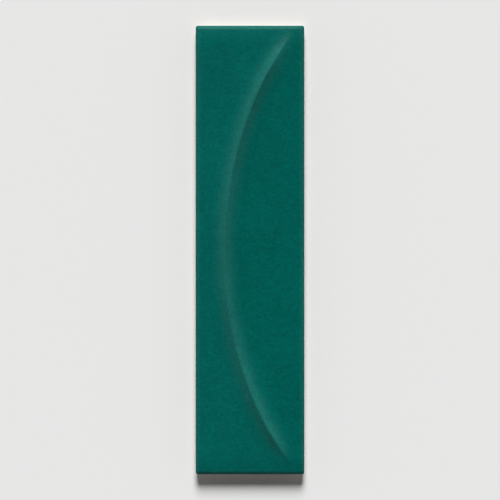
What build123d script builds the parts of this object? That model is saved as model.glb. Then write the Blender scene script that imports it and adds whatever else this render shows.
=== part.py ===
"""A pressed and glazed relief wall tile, in millimetres: it lies on its back with the decorated face up.

X runs across the tile, Y along it and Z up from the back. One thin crest crosses the face in a long
elliptical arc that bulges towards the left long side and dies out near the two right-hand corners, so that a
second tile, turned half round, completes a pointed oval.
"""

import math
import os

from build123d import *

# The slab
tile_length = 248.0
tile_width = 60.0
body_thickness = 8.0
corner_radius = 2.4
face_edge_radius = 2.2

# The face is flat, and falls away gently towards the two ends
end_fall_reach = 10.0
end_fall = 0.9

# The sides lean in below this height, so that the tile leaves its press mould
draft_height = 4.0
draft_inset = 0.5

# The crest line, an elliptical arc in plan
crest_from_left_side = 16.0
crest_from_right_side_at_ends = 2.5
ellipse_overrun = 38.0

# The crest's section, with concave flanks that run out flat on the face
crest_height = 3.0
flank_reach = 12.0
flank_hollow = 2.5
crest_softness = 1.0

# The crest dies out over this length and ends short of both ends of the tile
fade_length = 21.0
crest_end_gap = 6.0
sections_per_fade = 6
sections_between_fades = 17

# The crest is rooted in the slab, and the feet of its flanks stop just under the face
crest_root_depth = 3.0
crest_foot_depth = 0.08

# The keyed back: shallow pockets with ribs between them and a plain border
back_border = 6.0
rib_width = 3.0
pocket_depth = 0.8
pocket_draft = 20.0
pocket_corner_radius = 1.5
pockets_across = 3
pockets_along = 8


def face_fall(y):
    """How far the face lies below its flat middle at a place along the tile: a tangent arc at each end."""
    radius = (end_fall_reach**2 + end_fall**2) / (2 * end_fall)
    past_flat = max(0.0, abs(y) - (tile_length / 2 - end_fall_reach))
    return radius - math.sqrt(radius**2 - past_flat**2)


def long_section():
    """The slab cut along its length: a flat face between two falling arcs."""
    end = tile_length / 2
    flat_end = end - end_fall_reach
    rim = body_thickness - end_fall
    far_arc = TangentArc((flat_end, body_thickness), (end, rim), tangent=(1, 0))
    near_arc = TangentArc((-flat_end, body_thickness), (-end, rim), tangent=(-1, 0))
    flat = Line((-flat_end, body_thickness), (flat_end, body_thickness))
    below = Polyline((end, rim), (end, 0), (-end, 0), (-end, rim))
    return make_face([flat, far_arc, below, near_arc])


def slab():
    """The plain tile: an upright band under the face, a drafted foot, and a rounded face edge."""
    outline = RectangleRounded(tile_width, tile_length, corner_radius)
    foot_angle = math.degrees(math.atan2(draft_inset, draft_height))
    band = Pos(Z=draft_height) * extrude(outline, body_thickness - draft_height)
    foot = Pos(Z=draft_height) * extrude(outline, -draft_height, taper=foot_angle)
    body = (band + foot) & extrude(Plane.YZ * long_section(), tile_width / 2, both=True)
    face_parts = body.faces().filter_by(lambda part: part.normal_at().Z > abs(part.normal_at().X))
    face_lines = face_parts.edges()
    face_edges = [line for line in face_lines if face_lines.count(line) == 1]
    return fillet(face_edges, face_edge_radius)


def crest_plane(y):
    """The upright plane across the crest line at a place along the tile, level with the flat of the face."""
    half_length = tile_length / 2 + ellipse_overrun
    rise = tile_width - crest_from_left_side - crest_from_right_side_at_ends
    half_width = rise / (1 - math.sqrt(1 - (tile_length / 2 / half_length) ** 2))
    centre_x = crest_from_left_side - tile_width / 2 + half_width
    turn = math.asin(y / half_length)
    point = Vector(centre_x - half_width * math.cos(turn), y, body_thickness)
    inwards = Vector(half_length * math.cos(turn), -half_width * math.sin(turn), 0)
    return Plane(origin=point, x_dir=inwards, z_dir=inwards.cross(Vector(0, 0, 1)))


def crest_section(y, share):
    """The crest cut across, with its top at a share of the full height and its feet under the face."""
    plane = crest_plane(y)
    top = share * (crest_height + crest_foot_depth) - crest_foot_depth - face_fall(y)
    root = -crest_root_depth
    outline = [Line((-flank_reach, root), (flank_reach, root))]
    for side in (-1, 1):
        reach = side * flank_reach
        foot = -crest_foot_depth - face_fall(plane.from_local_coords((reach, 0)).Y)
        near_top = (side * crest_softness, top)
        near_foot = (side * flank_hollow, foot)
        outline.append(Bezier((0, top), near_top, near_foot, (reach, foot)))
        outline.append(Line((reach, foot), (reach, root)))
    return plane * make_face(outline)


def crest_stations():
    """Places along the tile and the crest's share of its height there: a cosine ease at each end."""
    crest_end = tile_length / 2 - crest_end_gap
    full_end = crest_end - fade_length
    fade = []
    for step in range(sections_per_fade):
        risen = step / sections_per_fade
        fade.append((crest_end - fade_length * risen, (1 - math.cos(math.pi * risen)) / 2))
    pitch = 2 * full_end / (sections_between_fades - 1)
    between = [(full_end - pitch * step, 1.0) for step in range(sections_between_fades)]
    return fade + between + [(-y, share) for y, share in reversed(fade)]


def crest():
    """The raised crest: its sections lofted along the crest line, kept inside the rounded face edge."""
    body = loft([crest_section(y, share) for y, share in crest_stations()])
    inside_edge = Rectangle(tile_width - 2 * face_edge_radius, tile_length - 2 * face_edge_radius)
    return body & extrude(Pos(Z=body_thickness) * inside_edge, crest_root_depth + crest_height, both=True)


def back_pockets():
    """The pockets pressed into the back, in even rows inside the border."""
    back_width = tile_width - 2 * draft_inset
    back_length = tile_length - 2 * draft_inset
    pitch_x = (back_width - 2 * back_border + rib_width) / pockets_across
    pitch_y = (back_length - 2 * back_border + rib_width) / pockets_along
    mouth = RectangleRounded(pitch_x - rib_width, pitch_y - rib_width, pocket_corner_radius)
    pocket = extrude(mouth, pocket_depth, taper=pocket_draft)
    return [place * pocket for place in GridLocations(pitch_x, pitch_y, pockets_across, pockets_along)]


wall_tile = slab() + crest() - back_pockets()

os.makedirs("parts", exist_ok=True)
export_step(wall_tile, "parts/wall_tile.step")
print("wall_tile", wall_tile.bounding_box().size, "volume", round(wall_tile.volume))
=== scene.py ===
# %% [markdown]
# # A relief wall tile
# The tile is one slab of pressed clay with a deep teal glaze fused to its face. A thin crest crosses the
# face in a long shallow arc, half of a pointed oval.
# This lesson models a finer skin of that tile and gives it its glaze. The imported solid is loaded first: it is
# a fixed frame that says how large the tile is and where it lies, and nothing below moves it.

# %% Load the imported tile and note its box
import math

import bmesh
import bpy
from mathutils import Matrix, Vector


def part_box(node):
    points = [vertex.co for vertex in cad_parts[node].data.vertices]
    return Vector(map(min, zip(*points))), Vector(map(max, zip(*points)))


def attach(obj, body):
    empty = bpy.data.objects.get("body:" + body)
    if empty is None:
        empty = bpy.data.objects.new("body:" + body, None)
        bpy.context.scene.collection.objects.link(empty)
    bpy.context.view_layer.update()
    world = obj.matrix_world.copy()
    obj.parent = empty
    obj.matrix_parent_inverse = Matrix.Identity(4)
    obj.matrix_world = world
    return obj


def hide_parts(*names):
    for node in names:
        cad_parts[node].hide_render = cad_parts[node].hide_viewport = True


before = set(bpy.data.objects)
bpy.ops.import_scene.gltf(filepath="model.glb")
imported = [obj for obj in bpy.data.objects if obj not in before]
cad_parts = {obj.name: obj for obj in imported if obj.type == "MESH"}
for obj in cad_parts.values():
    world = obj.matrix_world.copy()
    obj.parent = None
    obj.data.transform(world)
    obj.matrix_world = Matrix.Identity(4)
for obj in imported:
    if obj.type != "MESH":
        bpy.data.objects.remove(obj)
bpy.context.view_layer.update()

MM = 0.001
tile_low, tile_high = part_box("wall_tile")
half_width = (tile_high.x - tile_low.x) / 2
half_length = (tile_high.y - tile_low.y) / 2
print("tile", [round(side / MM, 2) for side in tile_high - tile_low], "mm")

# %% [markdown]
# ## The crest line
# On the real tile the crest is a ridge that the press mould leaves, and its line is part of an ellipse: it
# comes within 16 mm of the left side at mid-length and runs out near the two right-hand corners.
# A ridge on a curved line is hard to pull up evenly, but on a straight line it is easy. So the face starts as
# a flat straight strip with the crest along its middle, and is bent to the ellipse once the crest stands.
# The ellipse's two half axes follow from where the line passes, so they are worked out here first.

# %% Work out the ellipse
crest_from_left_side = 16.0 * MM
crest_from_right_side_at_ends = 2.5 * MM
ellipse_overrun = 38.0 * MM
ellipse_half_length = half_length + ellipse_overrun
bulge = 2 * half_width - crest_from_left_side - crest_from_right_side_at_ends
ellipse_half_width = bulge / (1 - math.sqrt(1 - (half_length / ellipse_half_length) ** 2))
ellipse_middle = crest_from_left_side - half_width + ellipse_half_width


def along_crest(y, steps=200):
    """The length of the crest line from its middle to a place along the tile."""
    last_turn = math.asin(y / ellipse_half_length)
    turns = [last_turn * step / steps for step in range(steps + 1)]
    points = [Vector((ellipse_half_width * math.cos(t), ellipse_half_length * math.sin(t))) for t in turns]
    return sum((end - start).length for start, end in zip(points, points[1:]))


print("crest line", round(2 * along_crest(half_length) / MM, 1), "mm long from end to end")

# %% [markdown]
# ## The strip
# The face could be modelled on a grid that lies square to the tile, but then the crest would cross the grid
# at a slant and its edge would look stepped. On the strip every row crosses the crest squarely, and one
# column is the crest itself. The strip is longer and wider than the tile needs, because it is trimmed later.
# Points are picked by their place all through this lesson, and a hair is the slack that picking allows.

# %% Lay out a flat strip with the crest column in its middle
strip_half_length = 142.0 * MM
strip_half_width = 49.0 * MM
row_pitch = 1.0 * MM
column_pitch = 0.4 * MM
hair = 0.01 * MM

bpy.ops.object.select_all(action="DESELECT")
bpy.ops.mesh.primitive_grid_add(
    x_subdivisions=round(2 * strip_half_length / row_pitch),
    y_subdivisions=2 * round(strip_half_width / column_pitch),
    size=2.0,
)
tile = bpy.context.object
tile.name = "glazed_tile"
tile.data.name = "glazed_tile"
bpy.ops.object.mode_set(mode="EDIT")
bpy.ops.mesh.select_all(action="SELECT")
bpy.ops.transform.resize(value=(strip_half_length, strip_half_width, 1), center_override=(0, 0, 0))
print("strip", len(tile.data.polygons), "cells before the first cut")

# %% [markdown]
# ## Raising the crest
# The flanks of the real crest are hollow: steep beside the crest and running out flat on the face. That is
# the shape that proportional editing gives with its Sharp falloff, a parabola. One wide, low lift and one
# narrow lift on top of it come close to the tile's section. Smoothing a few columns then rounds the crest as
# the glaze does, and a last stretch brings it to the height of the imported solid.

# %% Lift the crest column and soften its edge
face_level = 8.0 * MM
crest_rise = tile_high.z - face_level
wide_lift, wide_reach = 2.2 * MM, 11.0 * MM
narrow_lift, narrow_reach = 0.9 * MM, 6.0 * MM
softened_half_width = 1.3 * MM
softening_share, softening_passes = 0.5, 6


def select_points(test):
    """Selects the points of the tile that pass a test of their place, and counts them."""
    bpy.ops.mesh.select_mode(type="VERT")
    bpy.ops.mesh.select_all(action="DESELECT")
    mesh = bmesh.from_edit_mesh(tile.data)
    chosen = [point for point in mesh.verts if test(point.co)]
    for point in chosen:
        point.select_set(True)
    mesh.select_flush(True)
    bmesh.update_edit_mesh(tile.data)
    return len(chosen)


def move_softly(rise, reach):
    """Moves the selected points up or down and draws their neighbours along, less and less with distance."""
    bpy.ops.transform.translate(
        value=(0, 0, rise),
        use_proportional_edit=True,
        proportional_edit_falloff="SHARP",
        proportional_size=reach,
    )


for lift, reach in ((wide_lift, wide_reach), (narrow_lift, narrow_reach)):
    crest_points = select_points(lambda place: abs(place.y) < hair)
    move_softly(lift, reach)
select_points(lambda place: abs(place.y) < softened_half_width)
bpy.ops.mesh.vertices_smooth(factor=softening_share, repeat=softening_passes, xaxis=False, yaxis=False)
softened_rise = max(point.co.z for point in bmesh.from_edit_mesh(tile.data).verts)
bpy.ops.mesh.select_all(action="SELECT")
bpy.ops.transform.resize(value=(1, 1, crest_rise / softened_rise), center_override=(0, 0, 0))
print("crest of", crest_points, "points,", round(softened_rise / MM, 2), "mm before the last stretch")

# %% [markdown]
# ## Letting the crest die out
# Towards both ends the real crest sinks into the face before it reaches the corner. The rows there are
# pressed flatter one after the other, by a cosine that starts and ends gently, so no kink shows where the
# fade begins. Pressing rows is done with a scale along Z about the level of the face. The crest ends 2 mm
# from the tile's end here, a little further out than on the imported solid: its last rise is so low that only
# raking light shows it.

# %% Press the end rows flat
crest_end_gap = 2.0 * MM
fade_length = 23.0 * MM
fade_end = along_crest(half_length - crest_end_gap)
fade_start = along_crest(half_length - crest_end_gap - fade_length)


def crest_share(run):
    """The crest's share of its full height at a distance along its line from the middle."""
    left = (fade_end - abs(run)) / (fade_end - fade_start)
    return (1 - math.cos(math.pi * min(1.0, max(0.0, left)))) / 2


pressed_rows = 0
for row in range(round(strip_half_length / row_pitch) + 1):
    run = row * row_pitch
    if run > fade_start:
        select_points(lambda place: abs(abs(place.x) - run) < hair)
        bpy.ops.transform.resize(value=(1, 1, crest_share(run)), center_override=(0, 0, 0))
        pressed_rows += 1
print("rows pressed at each end:", pressed_rows)

# %% [markdown]
# ## Marks for the glaze
# A glaze runs thin over a crest when it melts. The finish will need to know how far each point lies from the
# crest and how high the crest is there, and both are easy to say now, while the strip is straight. They are
# kept on the mesh as named attributes, which follow the points through all the bending and cutting below.

# %% Note each point's distance from the crest
bpy.ops.object.mode_set(mode="OBJECT")


def keep_mark(name, measure):
    """Keeps a number at every point of the tile, measured from the point's place."""
    numbers = tile.data.attributes.new(name, "FLOAT", "POINT")
    numbers.data.foreach_set("value", [measure(point.co) for point in tile.data.vertices])


keep_mark("outside_crest", lambda place: place.y)
keep_mark("crest_share", lambda place: crest_share(place.x))
print("marks", [kept.name for kept in tile.data.attributes if kept.data_type == "FLOAT"])

# %% [markdown]
# ## Bending the strip
# A Curve modifier lays the strip along a curve. The curve is a circle scaled to the ellipse: its handles are
# set to Aligned first, because automatic handles would be worked out again and spoil the shape. A closed
# curve's path starts at its lowest point here, a quarter of the way round before the crest's middle, so the
# strip is moved along by that much before it is bent.

# %% Draw the ellipse as a curve
curve_steps = 256

bpy.ops.object.select_all(action="DESELECT")
bpy.ops.curve.primitive_bezier_circle_add(radius=1.0)
crest_line = bpy.context.object
crest_line.data.dimensions = "3D"
crest_line.data.resolution_u = curve_steps
crest_line.data.use_deform_bounds = False
bpy.ops.object.mode_set(mode="EDIT")
bpy.ops.curve.select_all(action="SELECT")
bpy.ops.curve.handle_type_set(type="ALIGNED")
bpy.ops.transform.resize(value=(ellipse_half_width, ellipse_half_length, 1), center_override=(0, 0, 0))
bpy.ops.transform.translate(value=(ellipse_middle, 0, 0))
bpy.ops.object.mode_set(mode="OBJECT")
quarter_round = crest_line.data.splines[0].calc_length() / 4
print("a quarter of the ellipse is", round(quarter_round / MM, 1), "mm long")

# %% Bend the strip along the curve
nearly_full = 0.99

bpy.ops.object.select_all(action="DESELECT")
tile.select_set(True)
bpy.context.view_layer.objects.active = tile
bpy.ops.object.mode_set(mode="EDIT")
bpy.ops.mesh.select_all(action="SELECT")
bpy.ops.transform.translate(value=(quarter_round, 0, 0))
bpy.ops.object.mode_set(mode="OBJECT")
bend = tile.modifiers.new("along the crest line", "CURVE")
bend.object = crest_line
bend.deform_axis = "POS_X"
bpy.ops.object.modifier_apply(modifier=bend.name)
bpy.data.objects.remove(crest_line)
high_points = [point.co for point in tile.data.vertices if point.co.z > nearly_full * crest_rise]
leftmost = min(place.x for place in high_points)
print("crest now", round((leftmost + half_width) / MM, 2), "mm from the left side")

# %% [markdown]
# ## Trimming to the tile
# The bent strip is cut to the flat part of the face, inside the rounded edge. Bisect cuts along a plane and
# throws one side away: four planes for the sides, and three more at each corner that touch a small circle
# there and round it. Cutting leaves some points almost on top of each other along the edge, and those are
# merged.

# %% Cut the outline of the face
edge_radius = 2.2 * MM
corner_radius = 1.2 * MM
corner_cuts = 4
cut_slack = 0.0001 * MM
merge_distance = 0.08 * MM
flat_half_width = half_width - edge_radius
flat_half_length = half_length - edge_radius


def trim_corner(right, up):
    """Cuts along planes that touch the corner's small circle, from the side of the tile round to its end."""
    middle_x = right * (flat_half_width - corner_radius)
    middle_y = up * (flat_half_length - corner_radius)
    for cut in range(corner_cuts + 1):
        turn = math.pi / 2 * cut / corner_cuts
        outwards = Vector((right * math.cos(turn), up * math.sin(turn), 0))
        bpy.ops.mesh.select_all(action="SELECT")
        bpy.ops.mesh.bisect(
            plane_co=Vector((middle_x, middle_y, 0)) + corner_radius * outwards,
            plane_no=outwards,
            clear_outer=True,
            threshold=cut_slack,
        )


def select_open_edge():
    """Selects the edges that have a face on one side only."""
    bpy.ops.mesh.select_mode(type="EDGE")
    bpy.ops.mesh.select_all(action="DESELECT")
    bpy.ops.mesh.select_non_manifold(
        use_wire=False, use_multi_face=False, use_non_contiguous=False, use_verts=False
    )


bpy.ops.object.mode_set(mode="EDIT")
for right in (-1, 1):
    for up in (-1, 1):
        trim_corner(right, up)
select_open_edge()
bpy.ops.mesh.remove_doubles(threshold=merge_distance)
print("face of", len(bmesh.from_edit_mesh(tile.data).faces), "cells")

# %% [markdown]
# ## The rounded edge
# The edge between face and sides is a quarter round that the press and the melting glaze leave. The open edge
# of the face is extruded in small steps, each a little wider and lower than the last, until it points
# straight down. The face is first raised to its level above the back.

# %% Raise the face and roll its edge over
edge_steps = 8


def draw_edge(outwards, down):
    """Extrudes the selected outline downwards and widens it all round, from the size that it has now."""
    mesh = bmesh.from_edit_mesh(tile.data)
    outline = [point.co for point in mesh.verts if point.select]
    width_now = max(place.x for place in outline)
    length_now = max(place.y for place in outline)
    wider = (1 + outwards / width_now, 1 + outwards / length_now, 1)
    bpy.ops.mesh.extrude_region_move(TRANSFORM_OT_translate={"value": (0, 0, -down)})
    bpy.ops.transform.resize(value=wider, center_override=(0, 0, 0))


bpy.ops.mesh.select_all(action="SELECT")
bpy.ops.transform.translate(value=(0, 0, face_level))
select_open_edge()
step_turn = math.pi / 2 / edge_steps
for step in range(edge_steps):
    before, after = step * step_turn, (step + 1) * step_turn
    draw_edge(
        edge_radius * (math.sin(after) - math.sin(before)),
        edge_radius * (math.cos(before) - math.cos(after)),
    )
print("edge rolled over in", edge_steps, "steps")

# %% [markdown]
# ## The fall at the ends
# The face of the real tile falls away a little over about the last 10 mm at each end, and the light shows it
# as a paler far end and a darker near end. The same soft move as for the crest, now downwards from the two
# end edges, makes that fall. It comes after the rounding, so that the slope runs on into the edge without a
# break.

# %% Lower the two ends
end_fall = 1.05 * MM
end_fall_reach = 10.5 * MM

end_points = select_points(lambda place: abs(place.y) > half_length - hair)
move_softly(-end_fall, end_fall_reach)
print(end_points, "points lowered by", round(end_fall / MM, 2), "mm, and their neighbours less")

# %% [markdown]
# ## The sides
# Below the edge the real tile has a short upright band and then a foot that leans in, so that the clay leaves
# its mould. Both are extruded from the open edge: the band is pressed to one level with a scale of nought
# along Z, and the foot ends in a small bevel.

# %% Draw the sides down
draft_height = 4.0 * MM
draft_inset = 0.5 * MM
foot_softening = 0.3 * MM

select_open_edge()
draw_edge(0, 0)
bpy.ops.transform.resize(value=(1, 1, 0), center_override=(0, 0, draft_height))
draw_edge(-draft_inset, draft_height - foot_softening)
draw_edge(-foot_softening, foot_softening)
print("upright band down to", round(draft_height / MM, 1), "mm, then the foot")

# %% [markdown]
# ## The keyed back
# The back of a pressed tile has shallow pockets with ribs between them, so that the adhesive keys into it.
# The outline is closed with one face, which is cut into cells. Each cell is inset by half a rib, its four
# corners are rounded with a bevel of points, and a second inset sinks the pocket and leans its walls.

# %% Close the back and cut it into cells
back_border = 6.0 * MM
rib_width = 3.0 * MM
pockets_across, pockets_along = 3, 8
back_half_width = half_width - draft_inset
back_half_length = half_length - draft_inset
cell_width = (2 * back_half_width - 2 * back_border + rib_width) / pockets_across
cell_length = (2 * back_half_length - 2 * back_border + rib_width) / pockets_along


def select_back(reach_x=half_width, reach_y=half_length, smallest=0.0):
    """Selects the faces that lie on the level of the back within a reach of its middle, and counts them."""
    bpy.ops.mesh.select_mode(type="FACE")
    bpy.ops.mesh.select_all(action="DESELECT")
    chosen = 0
    mesh = bmesh.from_edit_mesh(tile.data)
    for face in mesh.faces:
        middle = face.calc_center_median()
        within = middle.z < hair and abs(middle.x) < reach_x and abs(middle.y) < reach_y
        if within and face.calc_area() > smallest:
            face.select_set(True)
            chosen += 1
    bmesh.update_edit_mesh(tile.data)
    return chosen


bpy.ops.mesh.edge_face_add()
for line in range(pockets_across + 1):
    select_back()
    bpy.ops.mesh.bisect(plane_co=((line - pockets_across / 2) * cell_width, 0, 0), plane_no=(1, 0, 0))
for line in range(pockets_along + 1):
    select_back()
    bpy.ops.mesh.bisect(plane_co=(0, (line - pockets_along / 2) * cell_length, 0), plane_no=(0, 1, 0))
print("back cut into", select_back(), "cells")

# %% Sink the pockets
pocket_depth = 0.8 * MM
pocket_draft = math.radians(20)
pocket_corner_radius = 1.5 * MM
pocket_corner_steps = 3
round_profile = 0.5
pockets_half_width = pockets_across / 2 * cell_width
pockets_half_length = pockets_along / 2 * cell_length

select_back(pockets_half_width, pockets_half_length)
bpy.ops.mesh.inset(use_individual=True, thickness=rib_width / 2, depth=0)
bpy.ops.mesh.select_mode(type="VERT")
bpy.ops.mesh.bevel(
    affect="VERTICES", offset=pocket_corner_radius, segments=pocket_corner_steps, profile=round_profile
)
pockets = select_back(pockets_half_width, pockets_half_length, cell_width * cell_length / 2)
bpy.ops.mesh.inset(
    use_individual=True, thickness=pocket_depth * math.tan(pocket_draft), depth=-pocket_depth
)
print("pockets sunk:", pockets)

# %% [markdown]
# ## Checking the skin
# A mesh that goes to a printer or a game has to be closed, with every face pointing outwards. Recalculating
# the normals settles their direction, and a count of the edges that don't have two faces shows any hole.

# %% Point the faces outwards and look for holes
bpy.ops.mesh.select_mode(type="VERT")
bpy.ops.mesh.select_all(action="SELECT")
bpy.ops.mesh.normals_make_consistent(inside=False)
skin = bmesh.from_edit_mesh(tile.data)
holes = sum(not edge.is_manifold for edge in skin.edges)
triangles = sum(len(face.verts) - 2 for face in skin.faces)
print("open edges:", holes, "triangles:", triangles, "volume:", round(skin.calc_volume() / MM**3), "mm3")

# %% [markdown]
# ## The hand of the kiln
# No fired tile is truly flat. Drying and firing leave swells of a few hundredths of a millimetre, which
# nobody sees as shape but which the raking light shows as soft patches. A Displace modifier with a cloud
# texture makes them on the face and its edge only, so the tile still lies on a true back.

# %% Give the face its faint swells
swell_height = 0.06 * MM
swell_size = 16.0 * MM

face_points = select_points(lambda place: place.z > draft_height + hair)
face_group = tile.vertex_groups.new(name="face")
bpy.ops.object.vertex_group_assign()
bpy.ops.object.mode_set(mode="OBJECT")
swells = bpy.data.textures.new("kiln swells", "CLOUDS")
swells.noise_scale = swell_size
swells.noise_depth = 1
displace = tile.modifiers.new("kiln swells", "DISPLACE")
displace.texture = swells
displace.texture_coords = "LOCAL"
displace.vertex_group = face_group.name
displace.direction = "Z"
displace.strength = swell_height
bpy.ops.object.modifier_apply(modifier=displace.name)
print(face_points, "points of the face take the swells")

# %% [markdown]
# ## Smooth shading and a last mark
# Smooth shading hides the small flat faces of a mesh, but it would also blur true corners such as the rims of
# the pockets. So it is given only to faces that meet at less than 40 degrees. The outline is final now, and
# each point also notes how far it lies from the tile's edge, because the glaze runs thin there too.

# %% Shade the skin and note each point's distance from the edge
smooth_up_to = math.radians(40)

bpy.ops.object.shade_smooth_by_angle(angle=smooth_up_to)
keep_mark("from_edge", lambda place: min(half_width - abs(place.x), half_length - abs(place.y)))
print("shaded smooth up to", round(math.degrees(smooth_up_to)), "degrees")

# %% [markdown]
# ## Starting the finish
# The glaze and the bare clay below it are one material, because they meet in a ragged line on the sides. Its
# nodes read Object coordinates and the marks that were kept on the mesh, so the pattern sits on the tile
# from every side. Each step below adds a few nodes, and short helpers keep the recipes readable. The helpers
# put their nodes into whichever tree the names nodes and links stand for.

# %% Start the material
finish = bpy.data.materials.new("teal glaze on clay")
finish.use_nodes = True
nodes = finish.node_tree.nodes
links = finish.node_tree.links
surface = nodes["Principled BSDF"]
spot = nodes.new("ShaderNodeTexCoord").outputs["Object"]
axes = nodes.new("ShaderNodeSeparateXYZ")
links.new(spot, axes.inputs["Vector"])
height = axes.outputs["Z"]


def feed(socket, value):
    """Puts a number or colour on a socket, or links another node's output to it."""
    if isinstance(value, bpy.types.NodeSocket):
        links.new(value, socket)
    else:
        socket.default_value = value


print("material started:", finish.name)

# %% [markdown]
# ## The two teals
# The glaze is a deep blue-green. It is a little lighter outside the arc than inside.
# One even colour would lose that, so two near shades meet under the crest, where nobody can find the seam.

# %% Mix the teal for the two sides of the crest
inner_teal = (0.0002, 0.0962, 0.0790, 1)
outer_teal = (0.0009, 0.1020, 0.0860, 1)
seam_half_width = 6.0 * MM


def read_mark(name):
    """One of the numbers that were kept on the mesh."""
    attribute = nodes.new("ShaderNodeAttribute")
    attribute.attribute_name = name
    return attribute.outputs["Fac"]


def ramp(value, start, end, first, last, smooth=True):
    """Turns a number that runs from start to end into one that runs from first to last."""
    range_node = nodes.new("ShaderNodeMapRange")
    range_node.interpolation_type = "SMOOTHSTEP" if smooth else "LINEAR"
    for name, number in (("From Min", start), ("From Max", end), ("To Min", first), ("To Max", last)):
        range_node.inputs[name].default_value = number
    feed(range_node.inputs["Value"], value)
    return range_node.outputs["Result"]


def between(share, first, second):
    """The colour at a share of the way from a first colour to a second."""
    mix = nodes.new("ShaderNodeMix")
    mix.data_type = "RGBA"
    feed(mix.inputs["Factor"], share)
    feed(mix.inputs[6], first)
    feed(mix.inputs[7], second)
    return mix.outputs[2]


outside = ramp(read_mark("outside_crest"), -seam_half_width, seam_half_width, 0.0, 1.0)
teal = between(outside, inner_teal, outer_teal)
print("two teals, with a soft seam", round(2 * seam_half_width / MM), "mm wide")

# %% [markdown]
# ## Where the glaze runs thin
# As it melts, glaze draws back from a crest and from sharp edges. There it turns dry, and the pale clay greys
# it. The marks on the mesh say where that is: near the crest, as far as the crest stands up, and along the
# rounded edge, which is as dry as the crest but not so pale. So there are two masks, one for how dry the
# glaze is and one for how pale, and a little noise keeps both from looking drawn.

# %% Find where the glaze is thin
crest_bare_reach, crest_thin_reach = 0.5 * MM, 9.0 * MM
crest_line_reach = 4.5 * MM
flank_part, line_part = 0.55, 0.45
edge_bare_reach, edge_thin_reach = 0.2 * MM, 3.4 * MM
edge_mask_foot, edge_mask_top = 4.9 * MM, 6.4 * MM


def work(operation, first, second=0.0):
    """One step of arithmetic on two numbers."""
    step = nodes.new("ShaderNodeMath")
    step.operation = operation
    feed(step.inputs[0], first)
    feed(step.inputs[1], second)
    return step.outputs["Value"]


from_crest = work("ABSOLUTE", read_mark("outside_crest"))
on_flanks = ramp(from_crest, crest_bare_reach, crest_thin_reach, flank_part, 0.0)
on_line = ramp(from_crest, 0.0, crest_line_reach, line_part, 0.0)
on_crest = work("ADD", on_flanks, on_line)
thin_crest = work("MULTIPLY", on_crest, read_mark("crest_share"))
on_edge = ramp(read_mark("from_edge"), edge_bare_reach, edge_thin_reach, 1.0, 0.0)
above_band = ramp(height, edge_mask_foot, edge_mask_top, 0.0, 1.0)
thin_edge = work("MULTIPLY", on_edge, above_band)
print("thin within", round(crest_thin_reach / MM, 1), "mm of the crest and",
      round(edge_thin_reach / MM, 1), "mm of the edge")

# %% Dry and pale the crest and the edge
thin_teal = (0.0068, 0.1206, 0.1042, 1)
edge_paleness = 0.3
uneven_size = 5.0 * MM
least_thin, most_thin = 0.8, 1.06
noise_low, noise_high = 0.3, 0.7


def grain(size, detail=2.0, stretch=(1, 1, 1)):
    """Soft noise about 0.5, with patches of a size in metres and a stretch along each axis."""
    mapping = nodes.new("ShaderNodeMapping")
    mapping.inputs["Scale"].default_value = [1 / (size * along) for along in stretch]
    links.new(spot, mapping.inputs["Vector"])
    noise = nodes.new("ShaderNodeTexNoise")
    noise.inputs["Scale"].default_value = 1.0
    noise.inputs["Detail"].default_value = detail
    links.new(mapping.outputs["Vector"], noise.inputs["Vector"])
    return noise.outputs["Fac"]


def spread(pattern, first, last):
    """Turns soft noise, which seldom strays far from 0.5, into a number from first to last."""
    return ramp(pattern, noise_low, noise_high, first, last)


unevenness = spread(grain(uneven_size, detail=3.0), least_thin, most_thin)
pale_edge = work("MULTIPLY", thin_edge, edge_paleness)
dryness = work("MULTIPLY", work("MAXIMUM", thin_crest, thin_edge), unevenness)
paleness = work("MULTIPLY", work("MAXIMUM", thin_crest, pale_edge), unevenness)
glaze_colour = between(paleness, teal, thin_teal)
print("glaze paled on the crest and along the edge")

# %% [markdown]
# ## Clouds, mottle and painted shade of the orange peel
# A satin glaze is never even. It is clouded in patches as wide as a thumb, mottled in spots of about two
# millimetres, speckled finer still, and darker where it closed over a pinhole. All of these change only how
# bright the glaze is, so each is a number near one, and the colour is multiplied by one after the other.
# The mottle and the speckle are partly painted shade: they are drawn out a little across the tile into the
# light and dark streaks that the orange peel shows under the raking lamp.

# %% Cloud, mottle and speckle the glaze, the mottle and speckle with painted orange-peel shade
cloud_size, cloud_sway = 20.0 * MM, 0.07
mottle_size, mottle_and_shade_sway = 1.9 * MM, 0.085
speckle_size, speckle_and_shade_sway = 0.7 * MM, 0.19
pinhole_spacing, pinhole_radius = 4.5 * MM, 0.8 * MM
pinhole_shade = 0.85
# the stretch across the tile copies the painted shade streaks of orange peel lit from the far end
peel_shade_streak_stretch = (1.5, 1, 1)
sway_low, sway_high = 0.25, 0.75


def sway(pattern, share):
    """A number near one that soft noise moves up and down by about a share."""
    return ramp(pattern, sway_low, sway_high, 1 - share, 1 + share, smooth=False)


def specks(spacing, radius, core=0.4):
    """Round specks of a radius in metres, scattered at about a spacing, that fade outwards from a core."""
    cells = nodes.new("ShaderNodeTexVoronoi")
    cells.inputs["Scale"].default_value = 1 / spacing
    links.new(spot, cells.inputs["Vector"])
    return ramp(cells.outputs["Distance"], radius / spacing, core * radius / spacing, 0.0, 1.0)


def brighter(colour, times):
    """A colour times a number."""
    scale = nodes.new("ShaderNodeVectorMath")
    scale.operation = "SCALE"
    feed(scale.inputs[0], colour)
    feed(scale.inputs["Scale"], times)
    return scale.outputs["Vector"]


clouds = sway(grain(cloud_size), cloud_sway)
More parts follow.
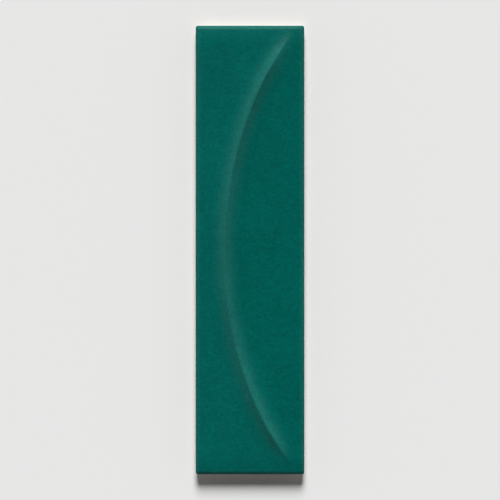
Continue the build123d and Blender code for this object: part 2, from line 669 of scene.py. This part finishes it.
# mottle and speckle: partly the glaze's own spots, partly painted shade of the orange peel in raking light
mottle_and_peel_shade = sway(grain(mottle_size, 4.0, peel_shade_streak_stretch), mottle_and_shade_sway)
speckle_and_peel_shade = sway(grain(speckle_size, 1.0, peel_shade_streak_stretch), speckle_and_shade_sway)
pinholes = specks(pinhole_spacing, pinhole_radius)
closed_pinholes = ramp(pinholes, 0.0, 1.0, 1.0, pinhole_shade)
for layer in (clouds, mottle_and_peel_shade, speckle_and_peel_shade, closed_pinholes):
    glaze_colour = brighter(glaze_colour, layer)
print("four layers of unevenness laid on the glaze")

# %% [markdown]
# ## The bare clay
# The back and the foot of the sides are never glazed: there the pressed clay body shows, a warm off-white
# with a sandy grain and a few iron specks. It is much rougher than the glaze.

# %% Mix the clay
pale_clay = (0.56, 0.48, 0.38, 1)
warm_clay = (0.47, 0.38, 0.28, 1)
clay_patch_size = 9.0 * MM
clay_grain_size = 0.7 * MM
grain_dark, grain_light = 0.9, 1.08
iron_speck = (0.16, 0.09, 0.05, 1)
iron_spacing, iron_radius = 5.0 * MM, 0.35 * MM
iron_strength = 0.8

clay_patches = spread(grain(clay_patch_size, detail=4.0), 0.0, 1.0)
clay_colour = between(clay_patches, pale_clay, warm_clay)
clay_colour = brighter(clay_colour, spread(grain(clay_grain_size), grain_dark, grain_light))
iron = work("MULTIPLY", specks(iron_spacing, iron_radius), iron_strength)
clay_colour = between(iron, clay_colour, iron_speck)
print("clay mixed, with iron specks about", round(iron_spacing / MM, 1), "mm apart")

# %% [markdown]
# ## Where the glaze ends
# The glaze runs over the edge and down the sides and stops in a wandering line with a few short runs. Along
# that line it gathers in a darker, thicker bead. The line is a height, moved up and down by noise, and the
# mask that it gives chooses between glaze and clay in every layer of the finish.

# %% Draw the glaze line and join the two finishes
glaze_line = 3.9 * MM
wander_size, line_wander = 11.0 * MM, 2.4 * MM
run_width, run_length = 4.0 * MM, 1.2 * MM
run_start, run_full = 0.58, 0.72
drawn_down = (1, 1, 8)
line_softness = 0.12 * MM
bead_height, bead_shade = 0.7 * MM, 0.62

wander = work("MULTIPLY", work("SUBTRACT", grain(wander_size), 0.5), line_wander)
runs = ramp(grain(run_width, stretch=drawn_down), run_start, run_full, 0.0, run_length)
above_line = work("SUBTRACT", work("ADD", height, work("ADD", wander, runs)), glaze_line)
glazed = ramp(above_line, -line_softness, line_softness, 0.0, 1.0)
bead = ramp(above_line, 0.0, bead_height, bead_shade, 1.0)
tile_colour = between(glazed, clay_colour, brighter(glaze_colour, bead))
feed(surface.inputs["Base Color"], tile_colour)
print("glaze line at", round(glaze_line / MM, 1), "mm")

# %% [markdown]
# ## Gloss and skin
# The glaze is satin: where it lies thick it has a soft sheen, seen best at a low angle, and where it is thin
# it is dry and dull. The clay below is duller still. So the roughness is set by the dry mask and the glaze
# line. The skin has the faint dimples of orange peel, wider ripples and small pits at the pinholes, the clay
# is sandy, and the glaze ends in a low lip. All these are bump, because they are at most about a tenth of a
# millimetre deep.

# %% Set the roughness and the shine
clay_roughness = 0.88
sheen_patch_size = 6.0 * MM
thick_smoothest, thick_roughest = 0.25, 0.30
rougher_where_dry = 0.55
glaze_shine = 0.1

thick_roughness = spread(grain(sheen_patch_size, detail=3.0), thick_smoothest, thick_roughest)
glaze_roughness = work("ADD", thick_roughness, work("MULTIPLY", dryness, rougher_where_dry))
roughness = nodes.new("ShaderNodeMix")
feed(roughness.inputs["Factor"], glazed)
feed(roughness.inputs["A"], clay_roughness)
feed(roughness.inputs["B"], glaze_roughness)
feed(surface.inputs["Roughness"], roughness.outputs["Result"])
surface.inputs["Specular IOR Level"].default_value = glaze_shine
print("roughness from", thick_smoothest, "on thick glaze to", clay_roughness, "on clay")

# %% Lay on the fine relief
peel_size, peel_depth = 2.6 * MM, 0.06 * MM
ripple_size, ripple_depth = 8.0 * MM, 0.08 * MM
pit_depth = 0.02 * MM
sand_size, sand_depth = 0.6 * MM, 0.10 * MM
lip_depth = 0.12 * MM


def relief(height_pattern, depth, under=None):
    """Bump of a depth in metres, laid over the bump that comes before it."""
    bump = nodes.new("ShaderNodeBump")
    bump.inputs["Distance"].default_value = depth
    feed(bump.inputs["Height"], height_pattern)
    if under is not None:
        links.new(under, bump.inputs["Normal"])
    return bump.outputs["Normal"]


orange_peel = work("MULTIPLY", grain(peel_size, detail=2.0), glazed)
ripples = work("MULTIPLY", grain(ripple_size, detail=1.0), glazed)
pits = work("MULTIPLY", work("SUBTRACT", 1.0, pinholes), glazed)
sand = work("MULTIPLY", grain(sand_size, detail=3.0), work("SUBTRACT", 1.0, glazed))
skin_normal = relief(orange_peel, peel_depth)
skin_normal = relief(ripples, ripple_depth, skin_normal)
skin_normal = relief(pits, pit_depth, skin_normal)
skin_normal = relief(sand, sand_depth, skin_normal)
skin_normal = relief(glazed, lip_depth, skin_normal)
feed(surface.inputs["Normal"], skin_normal)
tile.data.materials.clear()
tile.data.materials.append(finish)
print("finish of", len(nodes), "nodes")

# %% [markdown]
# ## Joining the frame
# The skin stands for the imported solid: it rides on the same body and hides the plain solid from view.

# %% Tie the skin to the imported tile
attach(tile, "root")
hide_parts("wall_tile")

# %% [markdown]
# ## The floor
# The tile lies on a plain pale floor that takes its shadow. The floor is a hair below the back, because two
# faces on one level would flicker through each other. Far from the tile it shows as an even pale ground, so
# that a low view has no dark horizon: there the camera, and reflections, see it as a plain light colour,
# while for all other light it stays an ordinary matt floor.

# %% Lay a pale floor
floor_radius = 8.0
floor_sides = 96
even_from, even_to = 0.45, 1.6

bpy.ops.object.select_all(action="DESELECT")
bpy.ops.mesh.primitive_circle_add(vertices=floor_sides, radius=floor_radius, fill_type="NGON")
floor = bpy.context.object
floor.name = "floor"
bpy.ops.object.mode_set(mode="EDIT")
bpy.ops.mesh.select_all(action="SELECT")
bpy.ops.mesh.inset(thickness=floor_radius - even_to, depth=0)
bpy.ops.mesh.select_all(action="SELECT")
bpy.ops.transform.translate(value=(0, 0, -hair))
bpy.ops.object.mode_set(mode="OBJECT")
print("floor", 2 * floor_radius, "m across")

# %% Paint the floor
floor_grey = (0.78, 0.78, 0.775, 1)
floor_roughness = 0.9
floor_shine = 0.1

ground = bpy.data.materials.new("pale floor")
ground.use_nodes = True
nodes = ground.node_tree.nodes
links = ground.node_tree.links
matt = nodes["Principled BSDF"]
matt.inputs["Base Color"].default_value = floor_grey
matt.inputs["Roughness"].default_value = floor_roughness
matt.inputs["Specular IOR Level"].default_value = floor_shine
distance = nodes.new("ShaderNodeVectorMath")
distance.operation = "LENGTH"
links.new(nodes.new("ShaderNodeTexCoord").outputs["Object"], distance.inputs[0])
far = ramp(distance.outputs["Value"], even_from, even_to, 0.0, 1.0)
rays = nodes.new("ShaderNodeLightPath")
seen = work("ADD", rays.outputs["Is Camera Ray"], rays.outputs["Is Glossy Ray"])
seen = work("ADD", seen, rays.outputs["Is Transmission Ray"])
even_ground = nodes.new("ShaderNodeEmission")
even_ground.inputs["Color"].default_value = floor_grey
join = nodes.new("ShaderNodeMixShader")
links.new(work("MULTIPLY", seen, far), join.inputs["Fac"])
links.new(matt.outputs["BSDF"], join.inputs[1])
links.new(even_ground.outputs["Emission"], join.inputs[2])
links.new(join.outputs["Shader"], nodes["Material Output"].inputs["Surface"])
floor.data.materials.append(ground)
print("floor even from", even_to, "m outwards")

# %% [markdown]
# ## The light
# The relief shows because the light rakes over it from beyond the far end. A lamp close by would fade along
# the tile, so it is a sun with a wide disc, which is even and still throws soft shadows. The room around
# gives a weak fill that is brighter at the horizon than overhead, so the satin face stays deep in colour and
# only slopes catch a pale gleam. Together they light a level surface at strength one, so a colour comes out
# about as written.

# %% Hang the lamp
lamp_elevation = math.radians(34)
lamp_disc = math.radians(24)
lamp_share = 0.86

bpy.ops.object.light_add(type="SUN", location=(0, 1, 1))
lamp = bpy.context.object
lamp.name = "raking lamp"
lamp.rotation_euler = (lamp_elevation - math.pi / 2, 0, 0)
lamp.data.angle = lamp_disc
lamp.data.energy = lamp_share * math.pi / math.sin(lamp_elevation)
print("lamp", round(math.degrees(lamp_elevation)), "degrees above the floor")

# %% Dim the room
horizon_light, overhead_light = 0.78, 0.02
sky_low, sky_high = 0.05, 0.75

room = bpy.context.scene.world or bpy.data.worlds.new("room")
bpy.context.scene.world = room
room.use_nodes = True
nodes = room.node_tree.nodes
links = room.node_tree.links
direction = nodes.new("ShaderNodeSeparateXYZ")
links.new(nodes.new("ShaderNodeTexCoord").outputs["Generated"], direction.inputs["Vector"])
sky = ramp(direction.outputs["Z"], sky_low, sky_high, horizon_light, overhead_light)
nodes["Background"].inputs["Color"].default_value = (1, 1, 1, 1)
links.new(sky, nodes["Background"].inputs["Strength"])
print("room", horizon_light, "bright at the horizon and", overhead_light, "overhead")

# %% [markdown]
# ## The camera
# The tile is looked at straight from above, with its far end at the top of the picture, through a long lens
# from far off, so that the picture has almost no perspective.

# %% Set the camera above the tile
lens = 135.0
sensor = 36.0
tile_share_of_frame = 0.90

frame_height = 2 * half_length / tile_share_of_frame
camera_height = face_level + frame_height * lens / sensor
bpy.ops.object.camera_add(location=(0, 0, camera_height), rotation=(0, 0, 0))
camera = bpy.context.object
camera.data.lens = lens
camera.data.sensor_width = sensor
bpy.context.scene.camera = camera
bpy.context.scene.view_settings.view_transform = "Standard"
print("camera", round(camera_height, 3), "m above the floor")
